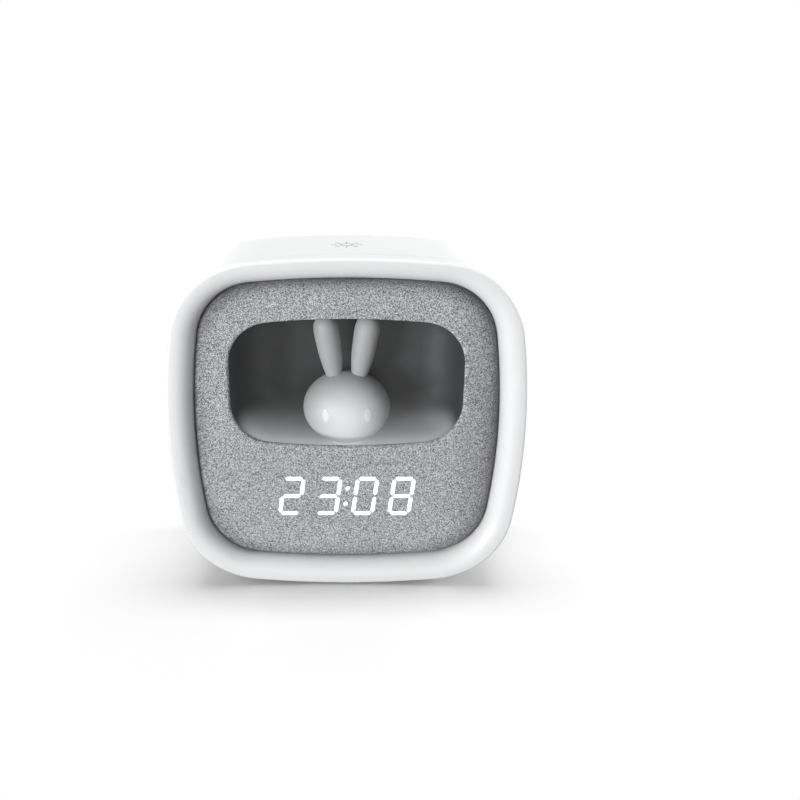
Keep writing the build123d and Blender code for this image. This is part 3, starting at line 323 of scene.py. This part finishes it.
def melange_cloth():
    """The face's cloth: dark and light fibres in a plain weave, matt and slightly fuzzy, with painted
    shade along its border.
    """
    made = Tree("melange_cloth", (0.4, 0.41, 0.42), 0.92)
    yarn, height = weave(made)
    colour = made.mix(made.spread(yarn, *YARN_TONES, 0.0, 1.0), YARN_DARK, YARN_LIGHT)
    bare = made.mix(made.spread(height, 0.0, GAP_HEIGHT, GAP_LIGHT, 1.0), GAP_DARK, colour)
    # Painted shade darkens the cloth along its border.
    made.set("Base Color", made.mix(border_light(made), BORDER_SHADE, bare))
    made.set("Sheen Weight", 0.25)
    made.set("Sheen Roughness", 0.5)
    made.set("Specular IOR Level", 0.2)
    fuzz = made.noise(0.08, 1.0)
    made.bump(made.math("ADD", height, made.math("MULTIPLY", fuzz, 0.3)), 0.09)
    return made.material


def lit_cloth():
    """Cloth with a display segment behind it: the lighter yarns glow a little more."""
    made = Tree("lit_cloth", (0.5, 0.5, 0.5), 0.9)
    yarn, height = weave(made)
    tone = made.spread(yarn, *NOISE_MOST, 0.9, 1.0)
    made.set("Emission Color", made.mix(tone, (0.80, 0.83, 0.88, 1.0), (1.0, 1.0, 1.0, 1.0)))
    made.set("Emission Strength", 1.0)
    made.bump(height, 0.05)
    return made.material


# ---------------------------------------------------------------- outlines
ARC_STEPS = 24
CLOTH_RAYS = 288  # points round the cloth


def crowned(width, height, side_r, top_r, corner_r, grow):
    """Points of four crowned sides joined by tangent corners, anticlockwise from the right, in mm."""
    a, b = width / 2 + grow, height / 2 + grow
    side_r, top_r, corner_r = side_r + grow, top_r + grow, corner_r + grow
    side_c, top_c = Vector((a - side_r, 0)), Vector((0, b - top_r))
    reach, rise = side_r - corner_r, top_r - corner_r
    line = top_c - side_c
    span = line.length
    along = (reach**2 - rise**2 + span**2) / (2 * span)
    off = math.sqrt(reach**2 - along**2)
    unit = line / span
    corner = side_c + unit * along - Vector((unit.y, -unit.x)) * off
    low = math.atan2(corner.y - side_c.y, corner.x - side_c.x)
    high = math.atan2(corner.y - top_c.y, corner.x - top_c.x)
    quarter = []
    for centre, radius, start, end in (
        (side_c, side_r, 0.0, low),
        (corner, corner_r, low, high),
        (top_c, top_r, high, math.pi / 2),
    ):
        for step in range(ARC_STEPS):
            angle = start + (end - start) * step / ARC_STEPS
            quarter.append((centre.x + radius * math.cos(angle), centre.y + radius * math.sin(angle)))
    quarter.append((0.0, b))
    left = [(-x, z) for x, z in reversed(quarter[:-1])]
    upper = quarter + left
    lower = [(x, -z) for x, z in reversed(upper[1:-1])]
    return upper + lower


def rays(points, centre_z):
    """The outline's points along evenly spaced rays from the window's middle."""
    turn = 2 * math.pi
    polar = []
    for x, z in points:
        z = z + centre_z - WINDOW_Z
        polar.append((math.atan2(z, x) % turn, math.hypot(x, z)))
    polar.sort()
    (first, first_r), (last, last_r) = polar[0], polar[-1]
    polar = [(last - turn, last_r)] + polar + [(first + turn, first_r)]
    found, index = [], 0
    for step in range(CLOTH_RAYS):
        angle = turn * step / CLOTH_RAYS
        while polar[index + 1][0] < angle:
            index += 1
        (a0, r0), (a1, r1) = polar[index], polar[index + 1]
        share = (angle - a0) / max(a1 - a0, 1e-12)
        reach = r0 + (r1 - r0) * share
        found.append((reach * math.cos(angle), reach * math.sin(angle) + WINDOW_Z))
    return found


def opening_ring(inset):
    """The bezel's opening, made smaller by the inset."""
    width = WIDTH - 2 * OPENING_TRIM
    points = crowned(width, HEIGHT, SIDE_R, TOP_R, CORNER_R, -BEZEL_RING - inset)
    return rays(points, OPENING_Z)


def window_ring(grow):
    """The window in the cloth, made larger by grow."""
    points = crowned(WINDOW_W, WINDOW_H, WINDOW_SIDE_R, WINDOW_TOP_R, WINDOW_CORNER_R, grow)
    return rays(points, WINDOW_Z)


def circle(radius, steps, rise=0.0):
    """Points round a circle whose middle is this much higher."""
    turns = [2 * math.pi * step / steps for step in range(steps)]
    return [(radius * math.cos(turn), rise + radius * math.sin(turn)) for turn in turns]


# ---------------------------------------------------------------- meshes
def piece(name, vertices, faces, material, smooth=True):
    """A mesh object from millimetre points, on the clock's body."""
    mesh = bpy.data.meshes.new(name)
    mesh.from_pydata([Vector(v) * MM for v in vertices], [], faces)
    mesh.validate()
    made = bpy.data.objects.new(name, mesh)
    bpy.context.scene.collection.objects.link(made)
    mesh.materials.append(material)
    mesh.polygons.foreach_set("use_smooth", [smooth] * len(mesh.polygons))
    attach(made, "root")
    return made


def thicken(made, thickness, offset):
    """Thickness in mm."""
    thick = made.modifiers.new("thickness", "SOLIDIFY")
    thick.thickness = thickness * MM
    thick.offset = offset


def loft(rings):
    """Quads between closed rings of equal length."""
    count = len(rings[0])
    vertices = [point for ring in rings for point in ring]
    faces = []
    for level in range(len(rings) - 1):
        for step in range(count):
            after = (step + 1) % count
            a, b = level * count + step, level * count + after
            faces.append((a, b, b + count, a + count))
    return vertices, faces


# ---------------------------------------------------------------- the stretched cloth
CLOTH_T = 0.5  # mm, thickness of the cloth
FACE_RINGS = 22  # rings over the flat face
LIP_STEPS, EDGE_STEPS = 7, 10
TUCK_SHORT = 0.1  # mm, the cloth ends this far before the parting plane
TUCK_DEPTHS = (PARTING_Y - CLOTH_Y - TUCK_SHORT, 2.6)  # mm behind the face, turned in at the window


def stretched_cloth(look):
    """The cloth: turned in at the window, flat over the panel, rolled over the panel's edge."""
    rings = []

    def add(ring, y):
        rings.append([(x, y, z) for x, z in ring])

    lip, edge = CLOTH_LIP_R, CLOTH_EDGE_R
    flare = NICHE_SIDE / (PARTING_Y - CLOTH_Y)
    lip_grow = lip * (flare + math.hypot(1.0, flare))  # where the lip's arc meets the flat face
    for depth in TUCK_DEPTHS:
        add(window_ring(flare * depth), CLOTH_Y + depth)
    start, end = math.pi - math.atan(flare), math.pi * 1.5
    for step in range(LIP_STEPS + 1):
        turn = start + (end - start) * step / LIP_STEPS
        add(window_ring(lip_grow + lip * math.cos(turn)), CLOTH_Y + lip * (1 + math.sin(turn)))
    inner, outer = window_ring(lip_grow), opening_ring(CLEAR + edge)
    for step in range(1, FACE_RINGS):
        share = step / FACE_RINGS
        between = [(x0 + (x1 - x0) * share, z0 + (z1 - z0) * share)
                   for (x0, z0), (x1, z1) in zip(inner, outer)]
        add(between, CLOTH_Y)
    for step in range(EDGE_STEPS + 1):
        turn = math.pi / 2 * step / EDGE_STEPS
        inset = CLEAR + edge * (1 - math.sin(turn))
        add(opening_ring(inset), CLOTH_Y + edge * (1 - math.cos(turn)))
    add(opening_ring(CLEAR), PARTING_Y - TUCK_SHORT)
    made = piece("stretched_cloth", *loft(rings), look)
    thicken(made, CLOTH_T, 1.0)
    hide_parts("fabric_cover")


# ---------------------------------------------------------------- lit digits
SEGMENTS = {"2": "abged", "3": "abgcd", "0": "abcdef", "8": "abcdefg"}
TIME = "2308"
GLOW_PROUD, GLOW_SUNK = 0.03, 0.1  # mm, the lit threads stand off the cloth's face and reach behind it
GLOW_ROUND, GLOW_GAP = 0.1, 0.7  # mm, how blunt a bar's point is, and the gap at the corners of a figure


def bar_outline(x, z, length, upright):
    """A pointed bar about a place, its points blunt, in mm."""
    half, side, ease = length / 2, SEGMENT_T / 2, GLOW_ROUND
    quarter = [(half, ease), (half - side + ease, side)]
    points = quarter + [(-px, pz) for px, pz in reversed(quarter)]
    points += [(-px, -pz) for px, pz in quarter] + [(px, -pz) for px, pz in reversed(quarter)]
    if upright:
        points = [(-pz, px) for px, pz in points]
    return [(x + px, z + pz) for px, pz in points]


def digit_bars(figure):
    """Outlines of the lit bars of one figure, about its middle."""
    wide, tall = (DIGIT_W - SEGMENT_T) / 2, (DIGIT_H - SEGMENT_T) / 2
    flat, stand = 2 * wide - GLOW_GAP, tall - GLOW_GAP
    places = {
        "a": (0, tall, flat, False), "g": (0, 0, flat, False), "d": (0, -tall, flat, False),
        "b": (wide, tall / 2, stand, True), "c": (wide, -tall / 2, stand, True),
        "f": (-wide, tall / 2, stand, True), "e": (-wide, -tall / 2, stand, True),
    }
    return [bar_outline(*places[letter]) for letter in SEGMENTS[figure]]


def lit_digits(look):
    """The time as lit bars in the cloth, one mesh, leaning to the right."""
    outlines = []
    for place, figure in zip((-1.5, -0.5, 0.5, 1.5), TIME):
        for outline in digit_bars(figure):
            outlines.append([(x + place * DIGIT_PITCH, z) for x, z in outline])
    outlines += [circle(COLON_R, 24, level * COLON_RISE) for level in (-1, 1)]
    lean = math.tan(math.radians(SLANT))
    vertices, faces = [], []
    for outline in outlines:
        start, count = len(vertices), len(outline)
        for y in (CLOTH_Y - GLOW_PROUD, CLOTH_Y + GLOW_SUNK):
            vertices += [(x + z * lean, y, z + DIGIT_Z) for x, z in outline]
        faces.append(tuple(range(start, start + count)))
        faces.append(tuple(range(start + 2 * count - 1, start + count - 1, -1)))
        for step in range(count):
            after = (step + 1) % count
            faces.append((start + step, start + count + step, start + count + after, start + after))
    made = piece("lit_digits", vertices, faces, look, smooth=False)


# ---------------------------------------------------------------- printed marks (mm)
INK_PROUD = 0.03
SUN_LINE, MARK_LINE = 0.34, 0.3  # widths of the lines
SUN_R, SUN_RAY = 2.0, (3.1, 3.8, 4.6, 5.4)
DIAL_R = 1.25
DIAL_HANDS = [(0.0, 0.75), (0.0, 0.0), (0.55, -0.35)]
BELL_SIDE = [(-1.3, -0.85), (-0.95, -0.5), (-0.85, 0.3), (-0.55, 0.95), (0.0, 1.2)]
BELL_CLAPPER = [(-0.35, -1.2), (0.0, -1.35), (0.35, -1.2)]
CHEVRON = [(-1.45, -0.95), (-0.02, 0.95), (0.02, 0.95), (1.45, -0.95)]
MARK_DROP = 7.6  # a mark's middle below its button's


def ribbon(points, width, closed=False):
    """Quads of a flat line of this width along points in a plane."""
    count = len(points)
    left, right = [], []
    for index, here in enumerate(points):
        before = points[index - 1] if closed or index else here
        after = points[(index + 1) % count] if closed or index < count - 1 else here
        way = (Vector(after) - Vector(here)).normalized() + (Vector(here) - Vector(before)).normalized()
        way.normalize()
        side = Vector((-way.y, way.x)) * width / 2
        left.append(Vector(here) + side)
        right.append(Vector(here) - side)
    quads = []
    for index in range(count if closed else count - 1):
        after = (index + 1) % count
        quads.append((left[index], left[after], right[after], right[index]))
    return quads


def sun_lines():
    """A ring and eight rays, each line with whether it is closed."""
    lines = [(circle(SUN_R, 48), True)]
    for step in range(8):
        turn = math.pi / 4 * step
        lines.append(([(r * math.cos(turn), r * math.sin(turn)) for r in SUN_RAY], False))
    return lines


def chevron_lines(rise):
    return [([(x, rise * z) for x, z in CHEVRON], False)]


def clock_lines():
    return [(circle(DIAL_R, 32), True), (DIAL_HANDS, False)]


def bell_lines():
    outline = BELL_SIDE + [(-x, z) for x, z in reversed(BELL_SIDE[:-1])]
    return [(outline, True), (BELL_CLAPPER, False)]


def printed(name, lines, width, lay, look):
    """Ink lines laid on the shell by lay(u, v), which gives a point in mm."""
    vertices, faces = [], []
    for points, closed in lines:
        for quad in ribbon(points, width, closed):
            start = len(vertices)
            vertices += [lay(corner.x, corner.y) for corner in quad]
            faces.append((start, start + 1, start + 2, start + 3))
    made = piece(name, vertices, faces, look, smooth=False)
    thicken(made, INK_PROUD * 1.5, 0.0)


def on_top(u, v):
    """A place on the crowned top, v towards the back."""
    crown_z = FOOT_PROUD + HEIGHT - TOP_R + math.sqrt(TOP_R**2 - u**2)
    return (u, TOUCH_Y + v, crown_z + INK_PROUD / 2)


def on_back(centre_x, centre_z):
    """A place on the back, u to the right as seen from behind."""
    return lambda u, v: (centre_x - u, BACK_Y + INK_PROUD / 2, centre_z + v)


def marks(look):
    """The sun on the touch area and one mark below each back button."""
    printed("touch_sun", sun_lines(), SUN_LINE, on_top, look)
    rows = (
        ("mark_up", -0.5, chevron_lines(1.0)),
        ("mark_down", -1.5, chevron_lines(-1.0)),
        ("mark_time", 0.5, clock_lines()),
        ("mark_alarm", 1.5, bell_lines()),
    )
    for name, place, lines in rows:
        printed(name, lines, MARK_LINE, on_back(place * BUTTON_PITCH, BUTTON_Z - MARK_DROP), look)


# ---------------------------------------------------------------- finishes of the CAD nodes
SHELL_LOOK = shell_white("white_shell")
BUTTON_LOOK = plain("button_white", WHITE, 0.36, grain=0.12, depth=0.004)
INNER_LOOK = plain("inner_plastic", (0.70, 0.70, 0.69), 0.5)
BLACK_LOOK = plain("black_plastic", (0.02, 0.02, 0.022), 0.42, mottle=0.1)
PLUNGER_LOOK = plain("plunger_black", (0.025, 0.025, 0.026), 0.35)
STEEL_LOOK = metal("screw_steel", (0.62, 0.62, 0.63), 0.34)
CLOTH_LOOK = melange_cloth()
LOOKS = {
    "rear_housing": SHELL_LOOK,
    "front_bezel": SHELL_LOOK,
    "fabric_cover": CLOTH_LOOK,
    "screw_plugs": plain("plug_white", PLUG_WHITE, 0.44),
    "front_panel": INNER_LOOK,
    "shade_ring": INNER_LOOK,
    "battery_straps": INNER_LOOK,
    "niche_cup": niche_grey("niche_grey"),
    "rabbit_shade": silicone("shade_silicone", (0.42, 0.425, 0.43), 0.5, 0.42),
    "rabbit_eyes": silicone("eye_silicone", (0.55, 0.555, 0.56), 0.5, 0.44),
    "display_frame": BLACK_LOOK,
    "control_chips": BLACK_LOOK,
    "usb_tongue": BLACK_LOOK,
    "switch_bodies": BLACK_LOOK,
    "display_segments": plain("segment_light", (0.86, 0.86, 0.87), 0.3),
    "display_film": plain("smoke_film", (0.10, 0.10, 0.105), 0.25),
    "board_components": plain("component_tan", (0.42, 0.30, 0.18), 0.4, mottle=0.2),
    "lead_sockets": plain("socket_white", (0.72, 0.70, 0.64), 0.45),
    "charge_led": plain("led_body", (0.85, 0.80, 0.50), 0.25),
    "lamp_leds": plain("lamp_led_body", (0.86, 0.82, 0.58), 0.25),
    "usb_shell": metal("usb_steel", (0.60, 0.60, 0.62), 0.28),
    "battery_cell": plain("cell_wrap", (0.05, 0.16, 0.42), 0.22, mottle=0.05),
    "speaker_frame": plain("speaker_steel", (0.03, 0.03, 0.032), 0.4, mottle=0.1),
    "speaker_cone": plain("speaker_paper", (0.035, 0.033, 0.03), 0.85, grain=0.4, depth=0.03),
    "speaker_magnet": metal("magnet_iron", (0.36, 0.36, 0.37), 0.4),
    "touch_plate": metal("contact_brass", (0.70, 0.50, 0.22), 0.3),
    "touch_spring": STEEL_LOOK,
    "battery_leads": plain("lead_red", (0.42, 0.02, 0.015), 0.38),
    "lamp_leads": plain("lead_black", (0.02, 0.02, 0.02), 0.4),
    "speaker_leads": plain("lead_grey", (0.05, 0.05, 0.05), 0.4),
    "touch_lead": plain("lead_dark", (0.03, 0.03, 0.03), 0.4),
    "display_ribbon": plain("ribbon_film", (0.45, 0.22, 0.04), 0.3),
    "rubber_feet": plain("foot_rubber", (0.03, 0.03, 0.032), 0.75, grain=0.35, depth=0.02),
}
for board in ("main_board", "lamp_board", "touch_board", "display_board"):
    LOOKS[board] = circuit_board(board)
for screws in ("housing_screws", "board_screws", "lamp_screws", "niche_screws", "touch_screws"):
    LOOKS[screws] = STEEL_LOOK
for button in ("up", "down", "time", "alarm"):
    LOOKS["button_" + button] = BUTTON_LOOK
    LOOKS["plunger_" + button] = PLUNGER_LOOK

for name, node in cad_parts.items():
    node.data.materials.clear()
    node.data.materials.append(LOOKS[name])

stretched_cloth(CLOTH_LOOK)
lit_digits(lit_cloth())
marks(plain("mark_ink", (0.22, 0.21, 0.205), 0.6, mottle=0.06))

# ---------------------------------------------------------------- floor, light and camera (metres)
FLOOR_HALF = 8.0
SHADOW_REACH = 0.06  # the floor's shadow fades out over this distance from the clock
FLOOR_SEEN, FLOOR_BOUNCE = (0.90, 0.90, 0.905), (0.14, 0.14, 0.145)  # as seen, and as a bounce light
FLOOR_LIFT = 0.08  # the seen floor's own light
LAMPS_AIM = (0.0, 0.0, 0.06)
LAMPS = (  # name, place, size, watts
    ("key", (-0.95, -1.10, 0.12), (0.7, 0.2), 17.0),
    ("fill", (0.10, -1.45, 0.12), (0.6, 0.2), 3.0),
    ("right", (1.0, 0.12, 0.30), (0.3, 0.4), 4.0),
    ("top", (0.0, 0.09, 1.30), (1.0, 0.25), 10.0),
    ("back_left", (-1.0, 1.05, 0.25), (0.5, 0.4), 6.5),
    ("back_right", (1.0, 1.05, 0.25), (0.5, 0.4), 8.5),
)
SKY = 0.20  # what the white surroundings add to the lamps
SEEN_RAYS = ("Is Camera Ray", "Is Glossy Ray", "Is Transmission Ray")
CAMERA_BACK, CAMERA_HIGH = 0.27541, 0.17244  # from the front of the bezel, and above the floor
CAMERA_DOWN, CAMERA_LENS = 20.11, 39.36  # degrees, and mm
CLOCK_PIXEL, PICTURE = 346.7, 800.0  # column of the clock's middle in the picture, and the picture's width


def floor():
    """A large white floor that keeps the clock's shadow and fades to plain white round it."""
    mesh = bpy.data.meshes.new("floor")
    corners = [(x * FLOOR_HALF, y * FLOOR_HALF, 0) for x, y in ((-1, -1), (1, -1), (1, 1), (-1, 1))]
    mesh.from_pydata(corners, [], [(0, 1, 2, 3)])
    made = bpy.data.objects.new("floor", mesh)
    bpy.context.scene.collection.objects.link(made)
    look = Tree("floor_white", FLOOR_SEEN, 1.0)
    look.set("Specular IOR Level", 0.0)
    beyond = []
    for part, half in zip(look.split(), (WIDTH / 2 - CORNER_R / 2, DEPTH / 2)):
        past = look.math("SUBTRACT", look.math("ABSOLUTE", part), half * MM)
        beyond.append(look.math("POWER", look.math("MAXIMUM", past, 0.0), 2.0))
    away = look.math("SQRT", look.math("ADD", *beyond))
    fade = look.spread(away, 0.0, SHADOW_REACH, 0.0, 1.0)
    path = look.node("ShaderNodeLightPath")
    seen = 0.0
    for ray in SEEN_RAYS:
        seen = look.math("MAXIMUM", path.outputs[ray], seen)
    look.set("Base Color", look.mix(seen, (*FLOOR_BOUNCE, 1.0), (*FLOOR_SEEN, 1.0)))
    white = look.node("ShaderNodeEmission")
    white.inputs["Strength"].default_value = 1.0
    lift = look.node("ShaderNodeEmission")
    look.feed(lift.inputs["Strength"], look.math("MULTIPLY", seen, FLOOR_LIFT))
    lit = look.node("ShaderNodeAddShader")
    look.feed(lit.inputs[0], look.shader.outputs[0])
    look.feed(lit.inputs[1], lift.outputs[0])
    mix = look.node("ShaderNodeMixShader")
    look.feed(mix.inputs[0], look.math("MULTIPLY", seen, fade))
    look.feed(mix.inputs[1], lit.outputs[0])
    look.feed(mix.inputs[2], white.outputs[0])
    look.feed(look.tree.nodes["Material Output"].inputs["Surface"], mix.outputs[0])
    mesh.materials.append(look.material)


def area_light(name, place, size, power):
    data = bpy.data.lights.new(name, "AREA")
    data.shape = "RECTANGLE"
    data.size, data.size_y = size
    data.energy = power
    made = bpy.data.objects.new(name, data)
    made.location = place
    made.rotation_euler = (Vector(LAMPS_AIM) - Vector(place)).to_track_quat("-Z", "Y").to_euler()
    bpy.context.scene.collection.objects.link(made)


def surroundings():
    """A white world, as seen and in gloss, that lights the clock only with the strength SKY."""
    world = bpy.data.worlds.new("studio")
    bpy.context.scene.world = world
    world.use_nodes = True
    tree = world.node_tree
    background = tree.nodes["Background"]
    background.inputs["Color"].default_value = (1.0, 1.0, 1.0, 1.0)
    path = tree.nodes.new("ShaderNodeLightPath")
    strength = None
    for ray in SEEN_RAYS:
        step = tree.nodes.new("ShaderNodeMath")
        step.operation = "MAXIMUM"
        tree.links.new(path.outputs[ray], step.inputs[0])
        if strength is None:
            step.inputs[1].default_value = SKY
        else:
            tree.links.new(strength, step.inputs[1])
        strength = step.outputs[0]
    tree.links.new(strength, background.inputs["Strength"])


def camera():
    data = bpy.data.cameras.new("camera")
    data.lens = CAMERA_LENS
    data.shift_x = (PICTURE / 2 - CLOCK_PIXEL) / PICTURE
    data.clip_start = 0.01
    made = bpy.data.objects.new("camera", data)
    made.location = (0.0, FRONT_Y * MM - CAMERA_BACK, CAMERA_HIGH)
    made.rotation_euler = (math.radians(90.0 - CAMERA_DOWN), 0.0, 0.0)
    bpy.context.scene.collection.objects.link(made)
    bpy.context.scene.camera = made


floor()
for lamp in LAMPS:
    area_light(*lamp)
surroundings()
camera()
bpy.context.scene.view_settings.view_transform = "Standard"
